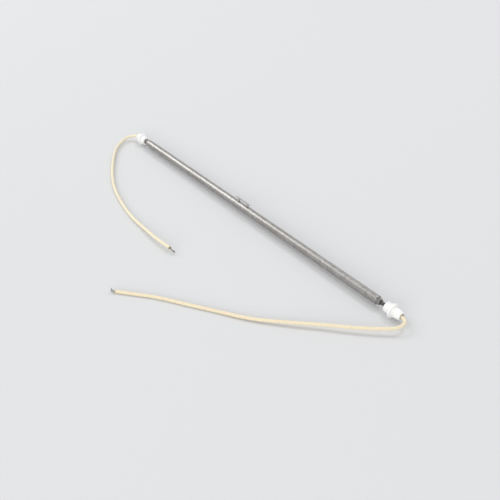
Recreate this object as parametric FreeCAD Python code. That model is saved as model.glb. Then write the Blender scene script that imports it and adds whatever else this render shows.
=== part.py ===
import FreeCAD, Part
import math
import os

# Straight tubular heating element of a strip heat lamp, with a ceramic insulator, a crimped
# terminal and a braided lead wire at each end, and a small support bridge at its middle.
# Millimetres. X runs along the element, Z is up and the leads lie on the -Y side.
# The origin is on the resting surface, straight below the middle of the element.

Vec = FreeCAD.Vector
X_AXIS = Vec(1, 0, 0)

# Sheath
SHEATH_R = 3.95
SHEATH_WALL = 0.7
SHEATH_HALF = 178.0
SHEATH_CHAMFER = 0.3
BORE_R = SHEATH_R - SHEATH_WALL
PACKED_GAP = 0.03  # between pieces that are pressed or packed together

# Terminal pins and the resistance wire between them
PIN_R = 1.6
PIN_INNER_END = 138.0
PIN_OUTER_END = 196.0
SPIGOT_R = 1.2
SPIGOT_LENGTH = 8.0
COIL_WIRE_R = 0.25
COIL_MEAN_R = 1.5
COIL_HALF = PIN_INNER_END - 1.0
COIL_LENGTHS = 4
COIL_TURNS = 23  # in each length

# What fills and closes the sheath
CORE_R = 1.15
CORE_HALF = PIN_INNER_END - SPIGOT_LENGTH - 0.5
FILL_HALF = 171.0
SEAL_LENGTH = 3.5
BUSHING_R = 2.9
BUSHING_STANDOUT = 3.4

BUSHING_EDGE = 0.5

# Ceramic insulator, from its inner face outwards
CERAMIC_INNER_FACE = 187.5
COLLAR_R = 4.4  # at its inner end; it widens towards the flange
COLLAR_ROOT_R = 5.0
COLLAR_LENGTH = 6.2
COLLAR_EDGE = 0.3
FLANGE_R = 6.5
FLANGE_LENGTH = 2.4
FLANGE_EDGE = 0.4
NOSE_ROOT_R = 4.5
NOSE_R = 4.2  # where the taper of the nose ends and its rounding begins
NOSE_TAPER = 4.7
NOSE_END_R = 2.9
CERAMIC_END = 204.0
SOCKET_R = 2.6
SOCKET_END = 201.0
LEAD_HOLE_R = 1.8

AXIS_HEIGHT = FLANGE_R  # the element rests on the two ceramic flanges

# The left pin is a little shorter, so the insulator, crimp and lead on it sit that much
# nearer to the sheath than on the right.
LEFT_SHORT = 3.0

# Crimped barrel that joins pin and lead
CRIMP_R = 2.2
CRIMP_START = 186.5
CRIMP_END = 200.0

# Lead wires: stranded conductor, mica tape, glass braid
BRAID_R = 1.45
BRAID_BORE_R = 1.1
MICA_R = 1.05
MICA_BORE_R = 0.7
CONDUCTOR_R = 0.65
BARE_R = 0.85  # the stripped strands, a little loosened
BARE_LENGTH = {"left": 6.7, "right": 4.0}
MICA_PROUD = 0.8
ARC_SHARE = 0.45  # how much of its shorter run each bend of a lead takes up

# The routes start where the crimp ends, inside the insulator, and end where the braid does.
LEFT_ROUTE = [
    (-197, 0, 6.5),
    (-202.6, 0, 6.4),
    (-207.8, -2.4, 5.6),
    (-210.7, -7.2, 4.5),
    (-210.4, -13.2, 3.6),
    (-205.8, -21.9, 2.9),
    (-198, -31, 2.5),
    (-187, -40, 2.3),
    (-171, -50.3, 2.1),
    (-148, -64, 1.9),
    (-122, -76, 1.7),
    (-94, -84, 1.5),
    (-64, -90, 1.5),
    (-34.7, -91.7, 2.4),
    (-9.6, -92.9, 4),
    (8.8, -91.4, 4),
]
RIGHT_ROUTE = [
    (200, 0, 6.5),
    (205.7, 0, 6.4),
    (210.7, -2.8, 6.1),
    (211.5, -8.1, 5.7),
    (210.3, -13.5, 5.4),
    (206, -19, 5.1),
    (199.2, -26.9, 4.8),
    (187.5, -39, 4.4),
    (171, -54, 3.8),
    (151.5, -73.5, 3),
    (130, -93, 1.9),
    (106, -107.5, 1.5),
    (84, -122, 1.45),
    (61, -136, 1.45),
    (46, -149, 1.45),
    (33.4, -159.6, 1.45),
]

# Support bridge: a flat T-shaped tab with a window, welded upright on the top of the sheath
BRIDGE_X = -3.0
BRIDGE_SHEET = 0.8
BRIDGE_WIDTH = 15.7  # over the two legs
BRIDGE_LEG = 2.2
WINDOW_TOP = 7.1  # above the element's axis
BRIDGE_TOP = 8.8
BRIDGE_BAR = 21.0
BRIDGE_CORNER = 0.6

parts = {}


def turned(profile):
    """A solid of revolution about the element's axis, from (distance along X, radius) points.

    A point with a third value, "arc", is the middle of an arc through its two neighbours.
    """
    points = [Vec(p[0], 0, AXIS_HEIGHT + p[1]) for p in profile]
    on_arc = [len(p) == 3 for p in profile]
    points.append(points[0])
    edges = []
    i = 0
    while i < len(profile):
        if i + 1 < len(profile) and on_arc[i + 1]:
            edges.append(Part.Arc(points[i], points[i + 1], points[i + 2]).toShape())
            i += 2
        else:
            edges.append(Part.LineSegment(points[i], points[i + 1]).toShape())
            i += 1
    return Part.Face(Part.Wire(edges)).revolve(Vec(0, 0, AXIS_HEIGHT), X_AXIS, 360)


def cylinder(start, length, radius):
    return Part.makeCylinder(radius, length, Vec(start, 0, AXIS_HEIGHT), X_AXIS)


def both_ends(name, right, left=None):
    """The same piece, or its own version, at the right end and, mirrored, at the left end."""
    parts["right_" + name] = right
    parts["left_" + name] = (left or right).mirror(Vec(0, 0, 0), X_AXIS)


def sheath():
    inner, outer, cut = BORE_R, SHEATH_R, SHEATH_CHAMFER
    return turned([
        (-SHEATH_HALF, inner),
        (SHEATH_HALF, inner),
        (SHEATH_HALF, outer - cut),
        (SHEATH_HALF - cut, outer),
        (-SHEATH_HALF + cut, outer),
        (-SHEATH_HALF, outer - cut),
    ])


def resistance_coil():
    """A helix of wire about the element's axis, swept in a few equal lengths of whole turns."""
    length = 2 * COIL_HALF / COIL_LENGTHS
    helix = Part.makeHelix(length / COIL_TURNS, length, COIL_MEAN_R)
    start = helix.Edges[0]
    point = start.valueAt(start.FirstParameter)
    way = start.tangentAt(start.FirstParameter)
    section = Part.Wire(Part.makeCircle(COIL_WIRE_R, point, way))
    winding = helix.makePipeShell([section], True, True)
    lengths = [winding.translated(Vec(0, 0, i * length)) for i in range(COIL_LENGTHS)]
    coil = lengths[0].multiFuse(lengths[1:])
    coil.rotate(Vec(0, 0, 0), Vec(0, 1, 0), 90)
    coil.translate(Vec(-COIL_HALF, 0, AXIS_HEIGHT))
    return coil


def magnesia_fill():
    """Packed round the coil, and closer round the two pins."""
    outer = BORE_R - PACKED_GAP
    coil_bore = COIL_MEAN_R + COIL_WIRE_R + PACKED_GAP
    pin_bore = PIN_R + PACKED_GAP
    return turned([
        (-FILL_HALF, outer),
        (FILL_HALF, outer),
        (FILL_HALF, pin_bore),
        (PIN_INNER_END, pin_bore),
        (PIN_INNER_END, coil_bore),
        (-PIN_INNER_END, coil_bore),
        (-PIN_INNER_END, pin_bore),
        (-FILL_HALF, pin_bore),
    ])


def terminal_pin(shorter=0.0):
    length = PIN_OUTER_END - PIN_INNER_END - shorter
    spigot = cylinder(PIN_INNER_END - SPIGOT_LENGTH, SPIGOT_LENGTH, SPIGOT_R)
    return cylinder(PIN_INNER_END, length, PIN_R).fuse(spigot).removeSplitter()


def end_seal():
    start = FILL_HALF
    seal = cylinder(start, SEAL_LENGTH, BORE_R - PACKED_GAP)
    return seal.cut(cylinder(start, SEAL_LENGTH, PIN_R + PACKED_GAP))


def end_bushing():
    """A stepped bead: its wide half sits in the sheath and its narrow half stands out."""
    start = FILL_HALF + SEAL_LENGTH
    mouth = SHEATH_HALF
    end = SHEATH_HALF + BUSHING_STANDOUT
    seat = BORE_R - PACKED_GAP
    bore = PIN_R + PACKED_GAP
    return turned([
        (start, bore),
        (start, seat),
        (mouth, seat),
        (mouth, BUSHING_R),
        (end - BUSHING_EDGE, BUSHING_R),
        (end, BUSHING_R - BUSHING_EDGE),
        (end, bore),
    ])


def ceramic_insulator():
    """A collar, a thin wide flange and a rounded nose, bored for crimp and lead."""
    face = CERAMIC_INNER_FACE
    flange = face + COLLAR_LENGTH
    nose = flange + FLANGE_LENGTH
    dome = nose + NOSE_TAPER
    bulge = math.sin(math.radians(45))
    return turned([
        (face, SOCKET_R),
        (face, COLLAR_R - COLLAR_EDGE),
        (face + COLLAR_EDGE, COLLAR_R),
        (flange, COLLAR_ROOT_R),
        (flange, FLANGE_R - FLANGE_EDGE),
        (flange + FLANGE_EDGE, FLANGE_R),
        (nose - FLANGE_EDGE, FLANGE_R),
        (nose, FLANGE_R - FLANGE_EDGE),
        (nose, NOSE_ROOT_R),
        (dome, NOSE_R),
        (dome + bulge * (CERAMIC_END - dome), NOSE_END_R + bulge * (NOSE_R - NOSE_END_R), "arc"),
        (CERAMIC_END, NOSE_END_R),
        (CERAMIC_END, LEAD_HOLE_R),
        (SOCKET_END, LEAD_HOLE_R),
        (SOCKET_END, SOCKET_R),
    ])


def crimp_barrel():
    barrel = cylinder(CRIMP_START, CRIMP_END - CRIMP_START, CRIMP_R)
    pin_hole = cylinder(CRIMP_START, PIN_OUTER_END - CRIMP_START, PIN_R)
    wire_hole = cylinder(PIN_OUTER_END, CRIMP_END - PIN_OUTER_END, CONDUCTOR_R)
    return barrel.cut(pin_hole).cut(wire_hole)


def lead_path(route, extend=0.0):
    """Straight runs joined by tangent arcs; the last run is longer by extend."""
    points = [Vec(*p) for p in route]
    last = points[-1] - points[-2]
    points[-1] = points[-1] + last.normalize() * extend
    edges = []
    radii = []
    here = points[0]
    for before, corner, after in zip(points, points[1:], points[2:]):
        way_in = corner - before
        way_out = after - corner
        cut = ARC_SHARE * min(way_in.Length, way_out.Length)
        turn = way_in.getAngle(way_out)
        radius = cut / math.tan(turn / 2)
        radii.append(radius)
        way_in.normalize()
        way_out.normalize()
        start = corner - way_in * cut
        end = corner + way_out * cut
        inwards = (way_out - way_in).normalize()
        centre = corner + inwards * (radius / math.cos(turn / 2))
        edges.append(Part.LineSegment(here, start).toShape())
        edges.append(Part.Arc(start, centre - inwards * radius, end).toShape())
        here = end
    edges.append(Part.LineSegment(here, points[-1]).toShape())
    return Part.Wire(edges), radii


def along(path, radius):
    """A round rod of that radius along the path."""
    first = path.OrderedEdges[0]
    start = first.valueAt(first.FirstParameter)
    way = first.tangentAt(first.FirstParameter)
    pipe = Part.BRepOffsetAPI.MakePipeShell(path)
    pipe.add(Part.Wire(Part.makeCircle(radius, start, way)))
    pipe.build()
    pipe.makeSolid()
    return pipe.shape()


def lead(side, route):
    """Braid, mica tape and conductor of one lead, one inside the other."""
    path, radii = lead_path(route)
    mica_path = lead_path(route, MICA_PROUD)[0]
    parts[side + "_lead_braid"] = along(path, BRAID_R).cut(along(path, BRAID_BORE_R))
    parts[side + "_lead_mica_wrap"] = along(mica_path, MICA_R).cut(along(mica_path, MICA_BORE_R))
    outwards = math.copysign(1, route[0][0])
    inner_end = Part.makeCylinder(
        CONDUCTOR_R, CRIMP_END - PIN_OUTER_END, Vec(*route[0]), X_AXIS * -outwards
    )
    way = (Vec(*route[-1]) - Vec(*route[-2])).normalize()
    strip = Vec(*route[-1]) + way * MICA_PROUD
    bare_end = Part.makeCylinder(BARE_R, BARE_LENGTH[side], strip, way)
    conductor = along(mica_path, CONDUCTOR_R).multiFuse([inner_end, bare_end])
    parts[side + "_lead_conductor"] = conductor.removeSplitter()
    expected = math.pi * (BRAID_R**2 - BRAID_BORE_R**2) * path.Length
    print(side, "lead", round(path.Length, 1), "mm, radii", [round(r, 1) for r in radii])
    print("   braid volume / (section x length)", parts[side + "_lead_braid"].Volume / expected)


def support_bridge():
    """A bar on two legs, whose feet are shaped to the sheath that they are welded to."""
    foot = math.sqrt(SHEATH_R**2 - (BRIDGE_SHEET / 2) ** 2) - 0.1

    def plate(left, width, bottom, top):
        corner = Vec(left, -BRIDGE_SHEET / 2, AXIS_HEIGHT + bottom)
        return Part.makeBox(width, BRIDGE_SHEET, top - bottom, corner)

    bar = plate(-BRIDGE_BAR / 2, BRIDGE_BAR, WINDOW_TOP, BRIDGE_TOP)
    across = [e for e in bar.Edges if abs(e.tangentAt(e.FirstParameter).y) > 0.9]
    bar = bar.makeFillet(BRIDGE_CORNER, across)
    legs = [
        plate(left, BRIDGE_LEG, foot, WINDOW_TOP + BRIDGE_CORNER)
        for left in (-BRIDGE_WIDTH / 2, BRIDGE_WIDTH / 2 - BRIDGE_LEG)
    ]
    bridge = bar.multiFuse(legs).cut(cylinder(-BRIDGE_BAR, 2 * BRIDGE_BAR, SHEATH_R))
    return bridge.removeSplitter().translated(Vec(BRIDGE_X, 0, 0))


def build():
    parts["sheath_tube"] = sheath()
    parts["resistance_coil"] = resistance_coil()
    parts["magnesia_core"] = cylinder(-CORE_HALF, 2 * CORE_HALF, CORE_R)
    parts["magnesia_fill"] = magnesia_fill()
    parts["support_bridge"] = support_bridge()
    both_ends("terminal_pin", terminal_pin(), terminal_pin(LEFT_SHORT))
    both_ends("end_seal", end_seal())
    both_ends("end_bushing", end_bushing())
    nearer = Vec(-LEFT_SHORT, 0, 0)
    for name, shape in (
        ("ceramic_insulator", ceramic_insulator()),
        ("crimp_barrel", crimp_barrel()),
    ):
        both_ends(name, shape, shape.translated(nearer))
    lead("left", LEFT_ROUTE)
    lead("right", RIGHT_ROUTE)


def save():
    os.makedirs("parts", exist_ok=True)
    for name, shape in parts.items():
        if not shape.isValid() or len(shape.Solids) != 1:
            raise ValueError(f"{name}: valid {shape.isValid()}, {len(shape.Solids)} solids")
        shape.Solids[0].exportStep(f"parts/{name}.step")
        print(name, round(shape.Volume, 1), "mm3")


build()
save()
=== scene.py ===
import math
import random

import bpy
from mathutils import Matrix, Vector, noise


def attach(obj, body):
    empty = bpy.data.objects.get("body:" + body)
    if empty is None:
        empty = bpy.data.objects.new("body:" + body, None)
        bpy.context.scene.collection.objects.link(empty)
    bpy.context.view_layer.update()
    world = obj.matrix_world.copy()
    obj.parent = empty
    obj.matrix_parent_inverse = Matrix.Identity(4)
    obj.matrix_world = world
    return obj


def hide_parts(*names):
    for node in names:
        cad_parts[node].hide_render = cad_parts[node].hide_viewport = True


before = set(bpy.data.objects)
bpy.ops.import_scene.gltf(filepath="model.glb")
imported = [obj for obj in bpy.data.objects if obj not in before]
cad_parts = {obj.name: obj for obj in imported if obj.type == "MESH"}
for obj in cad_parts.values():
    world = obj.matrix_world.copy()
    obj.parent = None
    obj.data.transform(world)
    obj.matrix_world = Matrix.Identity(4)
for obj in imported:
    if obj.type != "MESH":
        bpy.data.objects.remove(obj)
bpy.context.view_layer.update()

# The looks of a straight tubular heating element with two braided lead wires.
# Shapes are worked out in millimetres and turned into metres where a mesh is made. The routes of
# the leads, the light and the camera are in metres. x runs along the element, z is up.

MM = 0.001
TURN = 2 * math.pi
AXIS = 6.5  # height of the element's axis above the surface

# Sizes that several pieces share. Places along the element are those of its right half.
SHEATH_R = 3.95
SHEATH_BORE = 3.25
SHEATH_HALF = 178.0
PIN_R = 1.6
PIN_END = 196.0
BEAD_END = 204.0  # tip of the ceramic insulator
LEFT_SHORT = 3.0  # the left insulator and crimp sit that much nearer to the sheath

# The bridge on the sheath
BRIDGE_X = -3.0
LEG_INNER, LEG_OUTER = 5.65, 7.85  # edges of each leg, from the bridge's middle
LEG_X = (LEG_INNER + LEG_OUTER) / 2
FEET = [BRIDGE_X - LEG_X, BRIDGE_X + LEG_X]

# The leads
YARNS = 8  # of the braid, in each direction
BRAID_PITCH = 10.0
BRAID_AROUND = 56  # points round the braid
MICA_SHOWN = 0.8  # past the braid
STRIPPED = {"left": 7.5, "right": 4.8}  # wire past the braid
SAG = {"left": 1.0, "right": 0.5}  # of the bare strands' ends
BENT_UP = {"left": (), "right": (1, 2, 6)}  # numbers of the strands that are bent up

# Routes of the two leads, in metres: from the crimp inside the insulator to the end of the braid
LEFT_ROUTE = [
    (-0.197, 0, 0.0065),
    (-0.2026, 0, 0.0064),
    (-0.2078, -0.0024, 0.0056),
    (-0.2107, -0.0072, 0.0045),
    (-0.2104, -0.0132, 0.0036),
    (-0.2058, -0.0219, 0.0029),
    (-0.198, -0.031, 0.0025),
    (-0.187, -0.04, 0.0023),
    (-0.171, -0.0503, 0.0021),
    (-0.148, -0.064, 0.0019),
    (-0.122, -0.076, 0.0017),
    (-0.094, -0.084, 0.0015),
    (-0.064, -0.09, 0.0015),
    (-0.0347, -0.0917, 0.0024),
    (-0.0096, -0.0929, 0.004),
    (0.0088, -0.0914, 0.004),
]
RIGHT_ROUTE = [
    (0.2, 0, 0.0065),
    (0.2057, 0, 0.0064),
    (0.2107, -0.0028, 0.0061),
    (0.2115, -0.0081, 0.0057),
    (0.2103, -0.0135, 0.0054),
    (0.206, -0.019, 0.0051),
    (0.1992, -0.0269, 0.0048),
    (0.1875, -0.039, 0.0044),
    (0.171, -0.054, 0.0038),
    (0.1515, -0.0735, 0.003),
    (0.13, -0.093, 0.0019),
    (0.106, -0.1075, 0.0015),
    (0.084, -0.122, 0.00145),
    (0.061, -0.136, 0.00145),
    (0.046, -0.149, 0.00145),
    (0.0334, -0.1596, 0.00145),
]


# ---------------------------------------------------------------- meshes

def make_piece(name, verts, faces, material, body, nodes, attributes=None):
    """A smooth mesh piece from millimetre points, riding on its body in place of CAD nodes."""
    mesh = bpy.data.meshes.new(name)
    mesh.from_pydata([(x * MM, y * MM, z * MM) for x, y, z in verts], [], faces)
    mesh.polygons.foreach_set("use_smooth", [True] * len(mesh.polygons))
    for key, values in (attributes or {}).items():
        mesh.attributes.new(key, "FLOAT", "POINT").data.foreach_set("value", values)
    mesh.update()
    piece = bpy.data.objects.new(name, mesh)
    bpy.context.scene.collection.objects.link(piece)
    mesh.materials.append(material)
    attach(piece, body)
    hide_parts(*nodes)
    return piece


def rounded(corners, steps=5):
    """(x, r, fillet) corners of a closed profile, as a closed run of (x, r) points."""
    most = 0.48  # of an edge, so that two fillets never meet
    run = []
    count = len(corners)
    for i, (x, r, fillet) in enumerate(corners):
        here = Vector((x, r))
        if fillet == 0:
            run.append((x, r))
            continue
        before = Vector(corners[i - 1][:2]) - here
        after = Vector(corners[(i + 1) % count][:2]) - here
        start = here + before.normalized() * min(fillet, before.length * most)
        end = here + after.normalized() * min(fillet, after.length * most)
        for k in range(steps + 1):
            t = k / steps
            p = start * (1 - t) ** 2 + here * 2 * t * (1 - t) + end * t * t
            run.append((p.x, p.y))
    return run


def filled_in(profile, longest):
    """The closed profile with extra points, so that no step is longer than that."""
    run = []
    for (x0, r0), (x1, r1) in zip(profile, profile[1:] + profile[:1]):
        parts = max(1, math.ceil(math.hypot(x1 - x0, r1 - r0) / longest))
        run += [(x0 + (x1 - x0) * k / parts, r0 + (r1 - r0) * k / parts) for k in range(parts)]
    return run


def lathe(profile, segments, shape=None):
    """Points and faces of the closed profile turned about the element's axis.

    shape(x, r, angle) gives each point's own radius.
    """
    verts = []
    faces = []
    n = len(profile)
    for k in range(segments):
        angle = TURN * k / segments
        for x, r in profile:
            own = shape(x, r, angle) if shape else r
            verts.append((x, own * math.sin(angle), AXIS + own * math.cos(angle)))
    for k in range(segments):
        a, b = k * n, (k + 1) % segments * n
        faces += [(a + i, b + i, b + (i + 1) % n, a + (i + 1) % n) for i in range(n)]
    return verts, faces


def mirrored(verts, faces):
    """The same piece for the other end of the element."""
    return [(-x, y, z) for x, y, z in verts], [tuple(reversed(f)) for f in faces]


def rough_at(x, y, z, size, seed=0.0):
    """Smooth noise from -1 to 1 with features of about that size."""
    return noise.noise(Vector((x / size + seed, y / size + 3.7 * seed, z / size - seed)))


# ---------------------------------------------------------------- materials

class Look:
    """A node material: methods add nodes and give back the output that was asked for."""

    def __init__(self, name, **values):
        self.material = bpy.data.materials.new(name)
        self.material.use_nodes = True
        self.tree = self.material.node_tree
        self.shader = self.tree.nodes["Principled BSDF"]
        for key, value in values.items():
            self.shader.inputs[key.replace("_", " ")].default_value = value

    def add(self, kind, output, inputs, **settings):
        node = self.tree.nodes.new("ShaderNode" + kind)
        for key, value in settings.items():
            setattr(node, key, value)
        for key, value in inputs.items():
            self.put(node.inputs[key], value)
        return node.outputs[output]

    def put(self, socket, value):
        if isinstance(value, bpy.types.NodeSocket):
            self.tree.links.new(value, socket)
        else:
            socket.default_value = value

    def place(self, stretch):
        """The point on the piece, each direction stretched by its own factor."""
        point = self.add("TexCoord", "Object", {})
        return self.add("Mapping", "Vector", {"Vector": point, "Scale": stretch})

    def noise(self, size_mm, stretch=(1, 1, 1), detail=3.0, roughness=0.55):
        return self.add("TexNoise", "Fac", {
            "Vector": self.place(stretch), "Scale": 1 / (size_mm * MM),
            "Detail": detail, "Roughness": roughness,
        })

    def ramp(self, value, *stops):
        """stops are (position, colour)."""
        node = self.tree.nodes.new("ShaderNodeValToRGB")
        self.put(node.inputs["Fac"], value)
        while len(node.color_ramp.elements) < len(stops):
            node.color_ramp.elements.new(0.5)
        for element, (position, colour) in zip(node.color_ramp.elements, stops):
            element.position = position
            element.color = (*colour, 1)
        return node.outputs["Color"]

    def span(self, value, low, high, start=0.3, end=0.7):
        """The value with its range from start to end turned into low to high."""
        return self.add("MapRange", "Result", {
            "Value": value, "From Min": start, "From Max": end, "To Min": low, "To Max": high,
        })

    def mixed(self, amount, a, b):
        """Colour a turned into colour b by that amount."""
        factor, first, second, colour_out = 0, 6, 7, 2  # the mix node's sockets for colours
        node = self.tree.nodes.new("ShaderNodeMix")
        node.data_type = "RGBA"
        self.put(node.inputs[factor], amount)
        for socket, tone in ((first, a), (second, b)):
            self.put(node.inputs[socket], (*tone, 1) if isinstance(tone, tuple) else tone)
        return node.outputs[colour_out]

    def total(self, a, b):
        return self.add("Math", "Value", {0: a, 1: b}, operation="ADD")

    def attribute(self, name):
        return self.add("Attribute", "Fac", {}, attribute_name=name)

    def colour(self, value):
        self.put(self.shader.inputs["Base Color"], value)

    def rough(self, value):
        self.put(self.shader.inputs["Roughness"], value)

    def bumps(self, *layers):
        """layers are (height, depth in millimetres)."""
        normal = None
        for height, depth in layers:
            inputs = {"Height": height, "Distance": depth * MM, "Strength": 1.0}
            if normal:
                inputs["Normal"] = normal
            normal = self.add("Bump", "Normal", inputs)
        self.put(self.shader.inputs["Normal"], normal)


def sheath_steel():
    """Drawn and annealed steel: lengthwise lines, a mottled oxide, darker by the welds."""
    look = Look("sheath_steel", Metallic=1.0)
    lines = look.noise(1.0, (0.02, 3.5, 3.5), 4)
    mottle = look.noise(2.4, (0.6, 1, 1), 5, 0.65)
    cloud = look.noise(30, detail=2)
    base = look.ramp(mottle, (0.3, (0.275, 0.262, 0.25)), (0.7, (0.47, 0.458, 0.443)))
    base = look.mixed(look.span(lines, 0.0, 0.35), base, (0.37, 0.36, 0.346))
    base = look.mixed(look.span(cloud, 0.0, 0.45, 0.45, 0.7), base, (0.32, 0.30, 0.275))
    base = look.mixed(look.attribute("weld"), base, (0.17, 0.14, 0.115))
    look.colour(base)
    look.rough(look.span(look.mixed(0.5, lines, mottle), 0.27, 0.47))
    look.bumps((lines, 0.02), (mottle, 0.045))
    return look.material


def bridge_steel():
    """Cleaner sheet steel with upright lines, tinted by the heat of the welds at its feet."""
    look = Look("bridge_steel", Metallic=1.0)
    lines = look.noise(1.2, (3, 1, 0.08), 4)
    mottle = look.noise(1.6, detail=4)
    base = look.ramp(mottle, (0.3, (0.50, 0.48, 0.46)), (0.7, (0.64, 0.62, 0.60)))
    look.colour(look.mixed(look.attribute("weld"), base, (0.16, 0.135, 0.11)))
    look.rough(look.span(lines, 0.32, 0.5))
    look.bumps((lines, 0.02), (mottle, 0.02))
    return look.material


def terminal_steel():
    """Nickel steel, dark with heat oxide, brighter where it was rubbed."""
    look = Look("terminal_steel", Metallic=1.0)
    scale = look.noise(0.8, (0.5, 1, 1), 5, 0.7)
    lines = look.noise(0.5, (1, 0.1, 0.1), 2)
    base = look.ramp(scale, (0.25, (0.07, 0.066, 0.062)), (0.6, (0.15, 0.142, 0.135)),
                     (0.8, (0.26, 0.245, 0.23)))
    look.colour(base)
    look.rough(look.span(scale, 0.40, 0.22))
    look.bumps((lines, 0.015), (scale, 0.03))
    return look.material


def bushing_glaze():
    """Dark glazed ceramic."""
    look = Look("bushing_dark", Coat_Weight=1.0, Coat_Roughness=0.1, Coat_IOR=1.9)
    speck = look.noise(0.6, detail=4)
    look.colour(look.ramp(speck, (0.3, (0.07, 0.066, 0.062)), (0.75, (0.16, 0.15, 0.14))))
    look.rough(look.span(speck, 0.28, 0.42))
    look.bumps((speck, 0.03))
    return look.material


def white_ceramic():
    """Unglazed steatite: chalky white, fine grain, and painted shade in dark brown round the mouth
    of the wire's hole.
    """
    look = Look("white_ceramic", Subsurface_Weight=0.08, Subsurface_Scale=0.0015)
    grain = look.noise(0.35, detail=4)
    cloud = look.noise(4, detail=3)
    base = look.ramp(cloud, (0.3, (0.78, 0.776, 0.765)), (0.7, (0.835, 0.832, 0.825)))
    base = look.mixed(look.span(grain, 0.0, 0.2), base, (0.74, 0.732, 0.718))
    # painted shade: dark brown round the mouth of the wire's hole, its edge made ragged by the
    # cloud noise
    ragged_hole_shade = look.total(look.attribute("hole_shade"), look.span(cloud, -0.25, 0.25))
    base = look.mixed(look.span(ragged_hole_shade, 0.0, 0.85, 0.35, 0.95), base, (0.20, 0.13, 0.075))
    look.colour(base)
    look.rough(look.span(grain, 0.42, 0.62))
    look.bumps((grain, 0.025), (cloud, 0.05))
    return look.material


def glass_braid(side, cream, fleck_and_groove_shade, tint):
    """Silicone-treated glass yarn: cream, unevenly tinted, with dark flecks, and painted shade
    between the yarns and in its bore.
    """
    look = Look("glass_braid_" + side, Sheen_Weight=0.15, Sheen_Roughness=0.5)
    height = look.attribute("height")
    patch = look.noise(9, detail=3)
    fleck = look.noise(1.3, detail=4, roughness=0.7)
    fibre = look.noise(0.12, detail=3)
    base = look.mixed(look.span(patch, 0.0, 0.8, 0.42, 0.66), cream, tint)
    base = look.mixed(look.span(fleck, 0.0, 0.5, 0.52, 0.72), base, fleck_and_groove_shade)
    # painted shade: low places between the yarns turn towards the dark colour, which also serves
    # the random flecks
    painted_groove_shade = look.span(height, 0.75, 0.0, 0.25, 0.8)
    base = look.mixed(painted_groove_shade, base, fleck_and_groove_shade)
    look.colour(base)
    look.rough(look.span(fibre, 0.45, 0.7))
    look.bumps((fibre, 0.03))
    return look.material


def mica_tape():
    """Brown mica flakes, patchy."""
    look = Look("mica_tape", Coat_Weight=0.3, Coat_Roughness=0.25)
    flake = look.noise(0.5, detail=4)
    patch = look.noise(2, detail=2)
    base = look.ramp(flake, (0.3, (0.32, 0.27, 0.21)), (0.7, (0.56, 0.50, 0.41)))
    look.colour(look.mixed(look.span(patch, 0.0, 0.5), base, (0.26, 0.21, 0.15)))
    look.rough(look.span(flake, 0.3, 0.55))
    look.bumps((flake, 0.03))
    return look.material


def nickel(name, dark, light, size=0.4):
    """Tarnished from dark to light in patches of that size."""
    look = Look(name, Metallic=1.0)
    tarnish = look.noise(size, detail=4)
    look.colour(look.ramp(tarnish, (0.3, dark), (0.7, light)))
    look.rough(look.span(tarnish, 0.28, 0.5))
    look.bumps((tarnish, 0.01))
    return look.material


def powder():
    """Packed magnesia, off-white and dry."""
    look = Look("magnesia")
    grain = look.noise(0.5, detail=5)
    look.colour(look.ramp(grain, (0.3, (0.62, 0.60, 0.56)), (0.7, (0.78, 0.77, 0.74))))
    look.rough(look.span(grain, 0.8, 0.95))
    look.bumps((grain, 0.05))
    return look.material


def silicone():
    """The red rubber of the end seals."""
    look = Look("seal_silicone")
    cloud = look.noise(1.0, detail=3)
    look.colour(look.ramp(cloud, (0.3, (0.40, 0.12, 0.08)), (0.7, (0.50, 0.17, 0.12))))
    look.rough(look.span(cloud, 0.4, 0.6))
    look.bumps((cloud, 0.03))
    return look.material


STEEL = sheath_steel()
BRIDGE_STEEL = bridge_steel()
PIN_STEEL = terminal_steel()
BUSHING = bushing_glaze()
CERAMIC = white_ceramic()
# The right braid's colours are darker and more tan than the left's: painted shade for the shaded
# underside of that lead.
BRAIDS = {
    "left": glass_braid("left", (0.82, 0.77, 0.56), (0.45, 0.35, 0.21), (0.83, 0.72, 0.55)),
    "right": glass_braid("right", (0.80, 0.72, 0.51), (0.43, 0.32, 0.185), (0.82, 0.685, 0.515)),
}
MICA = mica_tape()
STRAND = nickel("nickel_strand", (0.16, 0.15, 0.14), (0.48, 0.46, 0.43))
CRIMP = nickel("crimp_nickel", (0.40, 0.39, 0.37), (0.62, 0.61, 0.58), 0.9)
WIRE = nickel("resistance_wire", (0.20, 0.19, 0.18), (0.36, 0.34, 0.32))
POWDER = powder()
SILICONE = silicone()


# ---------------------------------------------------------------- sheath, necks, pins, insulators

def make_sheath():
    """The tube, a little wavy on the outside, and tinted on top beside the bridge's welds."""
    outer_edge, bore_edge = 0.3, 0.12
    profile = rounded([
        (-SHEATH_HALF, SHEATH_BORE, bore_edge), (-SHEATH_HALF, SHEATH_R, outer_edge),
        (SHEATH_HALF, SHEATH_R, outer_edge), (SHEATH_HALF, SHEATH_BORE, bore_edge),
    ])
    wall_middle = (SHEATH_BORE + SHEATH_R) / 2
    long_depth, short_depth = 0.012, 0.006

    def shape(x, r, angle):
        if r < wall_middle:
            return r
        y, z = math.sin(angle), math.cos(angle)
        long_wave = rough_at(x, 9 * y, 9 * z, 14)
        short_wave = rough_at(x, 6 * y, 6 * z, 5, 2.3)
        return r + (long_wave * long_depth + short_wave * short_depth)

    verts, faces = lathe(filled_in(profile, 1.0), 96, shape)
    tint_reach, along, top_from = 1.6, 0.7, AXIS + 3
    weld = []
    for x, y, z in verts:
        near = min(math.hypot((x - foot) * along, y) for foot in FEET)
        weld.append(max(0.0, 1 - near / tint_reach) if z > top_from else 0.0)
    make_piece("drawn_sheath", verts, faces, STEEL, "element", ["sheath_tube"],
               {"weld": weld})


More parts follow.
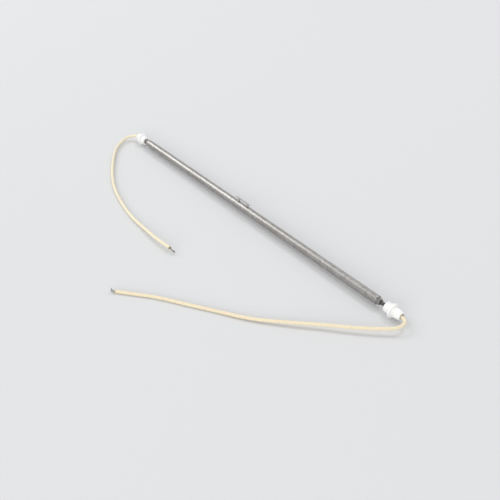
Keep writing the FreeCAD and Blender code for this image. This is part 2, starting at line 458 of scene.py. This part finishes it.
def make_both(name, shape_of, material, node, body="element", nearer=0.0, attribute=None):
    """A turned piece at the right end and, mirrored and that much nearer, at the left end.

    shape_of(side) gives it as at the right end. attribute is a name and a function of a point.
    """
    for side in ("right", "left"):
        verts, faces = shape_of(side)
        if side == "left":
            verts, faces = mirrored([(x - nearer, y, z) for x, y, z in verts], faces)
        values = {attribute[0]: [attribute[1](v) for v in verts]} if attribute else None
        make_piece(f"{side}_{name}", verts, faces, material, body.format(side=side),
                   [f"{side}_{node}"], values)


def bushing(side):
    """The dark neck, with a wider seat inside the end of the sheath."""
    gap = 0.03
    bore, neck_r, seat_r = PIN_R + gap, 2.9, SHEATH_BORE - gap
    inner, face, outer = SHEATH_HALF - 3.5, SHEATH_HALF, SHEATH_HALF + 3.4
    profile = rounded([
        (inner, bore, 0), (inner, seat_r, 0), (face, seat_r, 0), (face, neck_r, 0),
        (outer, neck_r, 0.7), (outer, bore, 0.25),
    ], 7)
    return lathe(filled_in(profile, 0.8), 64)


def pin(side):
    """The terminal pin, with the spigot at its inner end that the coil is fixed on."""
    core, spigot_r, edge = 0.02, 1.2, 0.2
    spigot, inner = 130.0, 138.0  # inner ends of the spigot and of the full width
    end = PIN_END - (LEFT_SHORT if side == "left" else 0.0)
    profile = rounded([
        (spigot, core, 0), (spigot, spigot_r, edge), (inner, spigot_r, 0), (inner, PIN_R, edge),
        (end, PIN_R, 0.35), (end, core, 0),
    ])
    smooth_to, scale_size, scale_depth = 1.3, 1.6, 0.02

    def shape(x, r, angle):
        if r < smooth_to:
            return r
        y, z = 2 * math.sin(angle), 2 * math.cos(angle)
        return r + rough_at(x, y, z, scale_size, 5.1) * scale_depth

    return lathe(filled_in(profile, 1.0), 40, shape)


def crimp(side):
    """A nickel barrel with two rows of dimples: one squeezes the pin, the other the wire."""
    pin_bore, wire_bore, outer_r, edge = PIN_R + 0.04, 0.7, 2.2, 0.25
    start, end = 186.5, 200.0
    profile = rounded([
        (start, pin_bore, 0.15), (start, outer_r, edge), (end, outer_r, edge), (end, wire_bore, 0),
        (PIN_END, wire_bore, 0), (PIN_END, pin_bore, 0),
    ])
    bores_to = 1.9
    dimples, dimple_reach, dimple_depth = (189.5, 198.0), 0.9, 0.22

    def shape(x, r, angle):
        if r < bores_to:
            return r
        dip = max(0.0, 1 - min(abs(x - c) for c in dimples) / dimple_reach)
        return r - dimple_depth * dip ** 2 * max(0.0, math.cos(2 * angle)) ** 2

    return lathe(filled_in(profile, 0.4), 48, shape)


def bead(side):
    """The ceramic insulator, slightly out of round, with a few small chips on its edges."""
    collar, flange_inner, flange_outer, socket_end = 187.5, 193.7, 196.1, 201.0
    flange_r, socket_r, lead_r, mouth_r = 6.5, 2.6, 1.8, 2.1
    profile = rounded([
        (collar, socket_r, 0.3), (collar, 4.4, 0.6), (flange_inner, 5.0, 0.35),
        (flange_inner + 0.02, flange_r, 0.6), (flange_outer, flange_r, 0.6),
        (flange_outer + 0.1, 4.6, 0.45), (200.6, 4.25, 0.7), (202.8, 3.85, 0.8),
        (BEAD_END, 2.95, 0.5), (BEAD_END, mouth_r, 0.3), (BEAD_END - 0.8, lead_r, 0.2),
        (socket_end, lead_r, 0), (socket_end, socket_r, 0),
    ], 6)
    seed = 4.0 if side == "left" else 9.0
    rng = random.Random(int(seed))
    edges = (187.7, 193.9, 196.0)
    chips = [(rng.choice(edges), rng.uniform(0, TURN), rng.uniform(0.35, 0.7)) for _ in range(6)]
    bores_to, wave_depth, grain_depth = 2.7, 0.05, 0.018
    chip_depth, chip_squash = 0.22, 1.2

    def shape(x, r, angle):
        if r < bores_to:
            return r
        y, z = r * math.sin(angle), r * math.cos(angle)
        wave, grain = rough_at(x, y, z, 5, seed), rough_at(x, y, z, 1.1, seed)
        own = r + wave * wave_depth + grain * grain_depth
        for chip_x, turn, size in chips:
            away = (angle - turn + math.pi) % TURN - math.pi
            far = math.hypot((x - chip_x) * chip_squash, away * r) / size
            if far < 1:
                own -= chip_depth * size * (1 - far * far)
        return own

    return lathe(filled_in(profile, 0.4), 144, shape)


def hole_mouth_shade(point):
    """Painted shade round the mouth of the wire's hole: 1 at the edge of the hole on the nose,
    falling off to 0 at its reach.
    """
    hole_r, reach = 2.0, 1.3
    x, y, z = point
    tip = BEAD_END if x > 0 else BEAD_END - LEFT_SHORT
    r = math.hypot(y, z - AXIS)
    far = math.hypot(max(0.0, tip - abs(x)), max(0.0, r - hole_r))
    return max(0.0, 1.0 - far / reach)


# ---------------------------------------------------------------- leads

def spline_points(name, route):
    """Points of the NURBS curve on the route's points, in millimetres."""
    curve = bpy.data.curves.new(name, "CURVE")
    curve.dimensions = "3D"
    spline = curve.splines.new("NURBS")
    spline.points.add(len(route) - 1)
    for point, place in zip(spline.points, route):
        point.co = (*place, 1)
    spline.order_u = 3
    spline.use_endpoint_u = True
    spline.resolution_u = 48
    holder = bpy.data.objects.new(name, curve)
    mesh = bpy.data.meshes.new_from_object(holder)
    points = [v.co / MM for v in mesh.vertices]
    bpy.data.meshes.remove(mesh)
    bpy.data.objects.remove(holder)
    bpy.data.curves.remove(curve)
    return points


class Path:
    """A line of points with the distance along it and a frame that doesn't twist."""

    def __init__(self, points):
        self.points = points
        self.at = [0.0]
        for a, b in zip(points, points[1:]):
            self.at.append(self.at[-1] + (b - a).length)
        self.length = self.at[-1]
        self.ways = []
        self.ups = []
        up = Vector((0, 0, 1))
        last = len(points) - 1
        for i in range(last + 1):
            way = (points[min(i + 1, last)] - points[max(i - 1, 0)]).normalized()
            up = (up - way * up.dot(way)).normalized()
            self.ways.append(way)
            self.ups.append(up)

    def frames(self, stops):
        """(centre, up, out, way) at each distance in turn; the distances rise.

        way points along the line, and up and out are square to it and to each other.
        """
        i = 0
        for s in stops:
            while i < len(self.at) - 2 and self.at[i + 1] < s:
                i += 1
            t = (s - self.at[i]) / (self.at[i + 1] - self.at[i])
            centre = self.points[i].lerp(self.points[i + 1], t)
            t = min(max(t, 0.0), 1.0)
            way = self.ways[i].lerp(self.ways[i + 1], t).normalized()
            up = self.ups[i].lerp(self.ups[i + 1], t)
            up = (up - way * up.dot(way)).normalized()
            yield centre, up, way.cross(up), way


def spread_out(start, end, step):
    """Even distances from start to end, about that step apart."""
    count = max(1, round((end - start) / step))
    return [start + (end - start) * k / count for k in range(count + 1)]


def ring(centre, up, out, r, around):
    """Points of a circle."""
    angles = [TURN * k / around for k in range(around)]
    return [centre + up * (r * math.cos(a)) + out * (r * math.sin(a)) for a in angles]


def bore_points(path, end, r, around):
    """Rings of points on the wall of a bore along the path, from its end back to its start."""
    frames = reversed(list(path.frames(spread_out(0.0, end, 2.0))))
    return [p for centre, up, out, way in frames for p in ring(centre, up, out, r, around)]


def ringed(rings, around, closed_loop):
    """Faces between rings of points. The last ring joins the first, or both ends get a cap."""
    faces = []
    pairs = list(zip(range(rings), range(1, rings)))
    if closed_loop:
        pairs.append((rings - 1, 0))
    for a, b in pairs:
        for k in range(around):
            j = (k + 1) % around
            faces.append((a * around + k, a * around + j, b * around + j, b * around + k))
    if not closed_loop:
        faces.append(tuple(reversed(range(around))))
        faces.append(tuple(range((rings - 1) * around, rings * around)))
    return faces


def yarn_height(turn, s, pitch):
    """Height of a two-over two-under braid, from 0 in a gap to 1 on top of a yarn."""
    tiny, roundness, under_share = 1e-6, 0.92, 0.35
    a = YARNS * (turn + s / pitch)
    b = YARNS * (turn - s / pitch)
    best = 0.0
    for along, across, phase in ((b, a, 1), (a, b, 3)):
        index = math.floor(across + tiny)
        off = (across - index - 0.5) * 2
        lift = math.cos(math.pi / 2 * (along + index - phase))
        crown = math.sqrt(max(0.0, 1 - roundness * min(1.0, abs(off)) ** 2))
        over = under_share + (1 - under_share) * crown
        best = max(best, 0.5 * crown + 0.25 * (1 + lift) * over)
    return best


def make_sleeve(side, path):
    """The glass braid: a woven outer surface, its bore, and loose fibres at its cut end."""
    core, relief, bore = 1.31, 0.17, 1.1
    wander_depth, flare, floor_gap = 0.02, 0.08, 0.01
    loosened = 2.5  # length of the end that is a little loose
    pitch = path.length / round(path.length / BRAID_PITCH)
    stops = [k * pitch / BRAID_AROUND for k in range(round(path.length / pitch) * BRAID_AROUND + 1)]
    rng = random.Random(side)
    ends = [rng.uniform(-0.3, 0.4) for _ in range(2 * YARNS)]
    verts = []
    heights = []
    for s, (centre, up, out, way) in zip(stops, path.frames(stops)):
        near_end = max(0.0, 1 - (path.length - s) / loosened)
        for k in range(BRAID_AROUND):
            turn = k / BRAID_AROUND
            c, d = math.cos(TURN * turn), math.sin(TURN * turn)
            high = yarn_height(turn, s, pitch)
            wander = noise.noise(Vector((s * 0.35, 3 * d, 3 * c)))
            r = core + relief * high + wander_depth * wander + flare * near_end ** 2
            slip = ends[int(turn * 2 * YARNS)] * near_end ** 3
            p = centre + up * (r * c) + out * (r * d) + way * slip
            p.z = max(p.z, floor_gap)
            verts.append(p)
            heights.append(high)
    lining = bore_points(path, path.length - 0.5, bore, BRAID_AROUND)
    verts += lining
    # the bore's lining gets height 0, so its colour is painted fully in shade
    heights += [0.0] * len(lining)
    faces = ringed(len(verts) // BRAID_AROUND, BRAID_AROUND, True)
    for fibre_verts, fibre_faces in frayed_end(path, rng):
        base = len(verts)
        verts += fibre_verts
        faces += [tuple(base + i for i in f) for f in fibre_faces]
        heights += [1.0] * len(fibre_verts)
    return make_piece(
        side + "_braid_sleeve", verts, faces, BRAIDS[side], "element",
        [side + "_lead_braid"], {"height": heights},
    )


def frayed_end(path, rng):
    """Fine loose fibres at the cut end of the braid, as closed tapered tubes."""
    centre, up, out, way = next(path.frames([path.length]))
    count, steps, around, floor_gap = 60, 5, 5, 0.1
    fibres = []
    for _ in range(count):
        angle = rng.uniform(0, TURN)
        radial = up * math.cos(angle) + out * math.sin(angle)
        start = centre + radial * rng.uniform(1.15, 1.4) - way * rng.uniform(0.3, 0.9)
        reach = rng.uniform(0.9, 1.9)
        flare = rng.uniform(0.05, 0.55)
        lean = way.cross(radial) * rng.uniform(-0.4, 0.4)
        thick = rng.uniform(0.025, 0.05)
        verts = []
        for i in range(steps + 1):
            t = i / steps
            p = start + way * (reach * t) + (radial * flare + lean) * (reach * t * t)
            p.z = max(p.z, floor_gap)
            verts += ring(p, radial, way.cross(radial), thick * (1 - 0.6 * t), around)
        fibres.append((verts, ringed(steps + 1, around, False)))
    return fibres


def make_tape(side, path):
    """Mica tape wound round the conductor; its last turn shows past the braid."""
    around = 32
    bore, wall, step, lap = 0.7, 0.3, 0.045, 3.2
    frayed, flare = 0.6, 0.03  # how far back the cut end is uneven, and how much wider it is
    end = path.length
    fine_from = end - 6
    stops = spread_out(0.0, fine_from, 1.6)[:-1] + spread_out(fine_from, end, 0.16)
    verts = []
    rng = random.Random(side + "tape")
    cut = [rng.uniform(-0.12, 0.12) for _ in range(around)]
    for s, (centre, up, out, way) in zip(stops, path.frames(stops)):
        tip = max(0.0, 1 - (end - s) / frayed)
        for k in range(around):
            turn = k / around
            r = bore + wall + step * ((s / lap + turn) % 1.0) + flare * tip
            p = centre + up * (r * math.cos(TURN * turn)) + out * (r * math.sin(TURN * turn))
            verts.append(p + way * (cut[k] * tip))
    verts += bore_points(path, end - 0.05, bore, around)
    faces = ringed(len(verts) // around, around, True)
    return make_piece(
        side + "_mica_tape", verts, faces, MICA, "element", [side + "_lead_mica_wrap"]
    )


def make_strands(side, path):
    """Seven twisted strands, splayed, sagging and unevenly cut at the bare end.

    On the right lead three of them are bent up and away from the others.
    """
    strand_r, lay, around = 0.216, 12.0, 12
    rise, back = 3.6, 0.25  # of a strand that is bent up, and how far back it leans as a share
    cut_edge, cut_taper = 0.25, 0.35
    bare = STRIPPED[side] - MICA_SHOWN
    centres = [(0.0, 0.0)] + [(2 * strand_r, TURN * k / 6) for k in range(6)]
    rng = random.Random(side + "strands")
    verts = []
    faces = []
    for number, (far, phase) in enumerate(centres):
        bent_up = rise if number in BENT_UP[side] else 0.0
        end = path.length - rng.uniform(0.0, 0.5)
        splay = rng.uniform(0.05, 0.2)
        twist_slip = rng.uniform(-0.2, 0.2)
        fine_from = end - lay
        stops = spread_out(0.0, fine_from, 1.0)[:-1] + spread_out(fine_from, end, 0.25)
        line = []
        for s, (centre, up, out, way) in zip(stops, path.frames(stops)):
            loose = max(0.0, 1 - (end - s) / bare)
            angle = phase + TURN * s / lay + twist_slip * loose
            r = far + splay * loose ** 1.5 * (far > 0)
            middle = centre + up * (r * math.cos(angle)) + out * (r * math.sin(angle))
            middle.z += bent_up * loose ** 3 - SAG[side] * loose
            line.append(middle - way * (back * bent_up * loose ** 3))
        base = len(verts)
        strand = Path(line)
        for s, middle, up, way in zip(stops, line, strand.ups, strand.ways):
            r = strand_r * (1 - cut_taper * max(0.0, 1 - (end - s) / cut_edge))
            verts += ring(middle, up, way.cross(up), r, around)
        faces += [tuple(base + i for i in f) for f in ringed(len(stops), around, False)]
    return make_piece(
        side + "_wire_strands", verts, faces, STRAND, "element",
        [side + "_lead_conductor"],
    )


def carried_on(line, reach, count):
    """The line, carried straight on past its end by that many points."""
    way = (line[-1] - line[-2]).normalized()
    return line + [line[-1] + way * (reach * k / count) for k in range(1, count + 1)]


def make_lead(side, route):
    """The braid along the route, and the tape and the strands that reach out of its end."""
    line = spline_points(side + "_route", route)
    inward = (line[0] - line[1]).normalized()
    in_crimp = [line[0] + inward * depth for depth in (4.0, 3.0, 2.0, 1.0)]
    sleeve_path = Path(line)
    sleeve = make_sleeve(side, sleeve_path)
    tape = make_tape(side, Path(carried_on(line, MICA_SHOWN, 4)))
    strands = make_strands(side, Path(in_crimp + carried_on(line, STRIPPED[side], 10)))
    print(side, "lead", round(sleeve_path.length, 1), "mm")


# ---------------------------------------------------------------- support bridge

def weld_bead(centre, reach, wide, high):
    """A small flattened ball, half sunk in the sheath beside a foot."""
    cx, cy, cz = centre
    verts = [(cx, cy, cz - high), (cx, cy, cz + high)]
    faces = []
    rings, around, unevenness = 5, 14, 0.08
    for i in range(1, rings + 1):
        lat = math.pi * i / (rings + 1) - math.pi / 2
        for k in range(around):
            a = TURN * k / around
            ripple = 1 + unevenness * math.sin(3 * a + cx)
            verts.append((
                cx + reach * ripple * math.cos(lat) * math.cos(a),
                cy + wide * ripple * math.cos(lat) * math.sin(a), cz + high * math.sin(lat),
            ))
    for k in range(around):
        j = (k + 1) % around
        faces.append((0, 2 + j, 2 + k))
        for i in range(rings - 1):
            a, b = 2 + i * around, 2 + (i + 1) * around
            faces.append((a + k, a + j, b + j, b + k))
        last = 2 + (rings - 1) * around
        faces.append((1, last + k, last + j))
    return verts, faces


def make_bridge():
    """A flat T-shaped tab with a window, upright on the sheath, and its four small welds."""
    sheet, bar_half = 0.8, 10.5
    foot, window_top, top = SHEATH_R - 0.2, 7.1, 8.8  # above the element's axis
    outer, inner = LEG_OUTER, LEG_INNER
    leg_edge, bar_under, bar_end, window_edge = 0.35, 0.6, 0.7, 0.5
    outline = filled_in(rounded([
        (-outer, foot, 0), (-outer, window_top, leg_edge), (-bar_half, window_top, bar_under),
        (-bar_half, top, bar_end), (bar_half, top, bar_end), (bar_half, window_top, bar_under),
        (outer, window_top, leg_edge), (outer, foot, 0), (inner, foot, 0),
        (inner, window_top, window_edge), (-inner, window_top, window_edge), (-inner, foot, 0),
    ]), 0.7)
    n = len(outline)
    bow_depth, bow_from, bow_rise = 0.10, 4, 5.5
    verts = []
    for side in (-1, 1):
        for x, z in outline:
            bow = bow_depth * math.cos(x / bar_half * 1.4) * max(0.0, (z - bow_from) / bow_rise)
            verts.append((BRIDGE_X + x, side * sheet / 2 + bow, AXIS + z))
    faces = [tuple(range(n)), tuple(reversed(range(n, 2 * n)))]
    faces += [(k, k + n, (k + 1) % n + n, (k + 1) % n) for k in range(n)]
    weld_y, weld_z, weld_size = 0.55, SHEATH_R - 0.03, (1.25, 0.45, 0.3)
    for foot_x in FEET:
        for side in (-1, 1):
            more, their = weld_bead((foot_x, side * weld_y, AXIS + weld_z), *weld_size)
            base = len(verts)
            verts += more
            faces += [tuple(base + i for i in f) for f in their]
    tinted_to, fading = AXIS + 4.1, 0.8
    tint = [min(1.0, max(0.0, 1 - (z - tinted_to) / fading)) for x, y, z in verts]
    bridge = make_piece(
        "flat_bridge", verts, faces, BRIDGE_STEEL, "element",
        ["support_bridge"], {"weld": tint},
    )
    edges = bridge.modifiers.new("edges", "BEVEL")
    edges.width = 0.12 * MM
    edges.segments = 2
    edges.limit_method = "ANGLE"
    edges.angle_limit = math.radians(50)
    edges.harden_normals = True


# ---------------------------------------------------------------- the object

make_sheath()
make_both("neck_bushing", bushing, BUSHING, "end_bushing")
make_both("pin", pin, PIN_STEEL, "terminal_pin")
make_both("crimp", crimp, CRIMP, "crimp_barrel", nearer=LEFT_SHORT)
# the beads carry a mask of painted shade round the mouth of the wire's hole
make_both("ceramic_bead", bead, CERAMIC, "ceramic_insulator",
          body="{side}_insulator", nearer=LEFT_SHORT, attribute=("hole_shade", hole_mouth_shade))
make_lead("left", LEFT_ROUTE)
make_lead("right", RIGHT_ROUTE)
make_bridge()

# What is shut inside the sheath keeps its CAD shape and gets a finish.
INNER = {
    "resistance_coil": WIRE, "magnesia_core": POWDER, "magnesia_fill": POWDER,
    "left_end_seal": SILICONE, "right_end_seal": SILICONE,
}
for node_name, finish in INNER.items():
    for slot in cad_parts[node_name].material_slots:
        slot.material = finish


# ---------------------------------------------------------------- floor, light and camera

def make_floor():
    """A sheet of pale paper."""
    look = Look("floor_paper", Roughness=0.9)
    fine = look.noise(1.5, detail=4)
    look.colour(look.ramp(fine, (0.3, (0.632, 0.635, 0.64)), (0.7, (0.648, 0.651, 0.656))))
    size = 4.0
    mesh = bpy.data.meshes.new("floor")
    mesh.from_pydata([(-size, -size, 0), (size, -size, 0), (size, size, 0), (-size, size, 0)],
                     [], [(0, 1, 2, 3)])
    mesh.materials.append(look.material)
    floor = bpy.data.objects.new("floor", mesh)
    bpy.context.scene.collection.objects.link(floor)


def area_light(name, place, width, height, power):
    """A white rectangle of light that faces the middle of the scene."""
    lamp = bpy.data.lights.new(name, "AREA")
    lamp.shape = "RECTANGLE"
    lamp.size = width
    lamp.size_y = height
    lamp.energy = power
    holder = bpy.data.objects.new(name, lamp)
    holder.location = place
    holder.rotation_euler = (-Vector(place)).to_track_quat("-Z", "Y").to_euler()
    bpy.context.scene.collection.objects.link(holder)


def make_light():
    world = bpy.data.worlds.new("studio")
    bpy.context.scene.world = world
    world.use_nodes = True
    background = world.node_tree.nodes["Background"]
    background.inputs["Color"].default_value = (0.985, 0.99, 1.0, 1)
    background.inputs["Strength"].default_value = 0.80
    area_light("softbox", (-2.3, -0.45, 2.15), 1.1, 1.0, 15)
    area_light("low_softbox", (-2.6, -1.15, 1.55), 0.9, 0.8, 9)
    area_light("back_panel", (-0.35, 1.3, 2.3), 0.9, 0.8, 13)
    area_light("front_wall", (1.7, -2.6, 1.0), 2.8, 1.4, 48)


def make_camera():
    data = bpy.data.cameras.new("camera")
    data.lens = 54.36
    data.sensor_width = 36
    camera = bpy.data.objects.new("camera", data)
    bpy.context.scene.collection.objects.link(camera)
    place = Vector((0.4978, -0.3729, 0.3826))
    right = Vector((0.6054, 0.7959, 0))
    up = Vector((-0.4479, 0.3407, 0.8266))
    back = right.cross(up)
    rows = [(right[i], up[i], back[i], place[i]) for i in range(3)]
    camera.matrix_world = Matrix((*rows, (0, 0, 0, 1)))
    data.clip_start = 0.01
    data.clip_end = 20
    bpy.context.scene.camera = camera


make_floor()
make_light()
make_camera()
bpy.context.scene.view_settings.view_transform = "Standard"
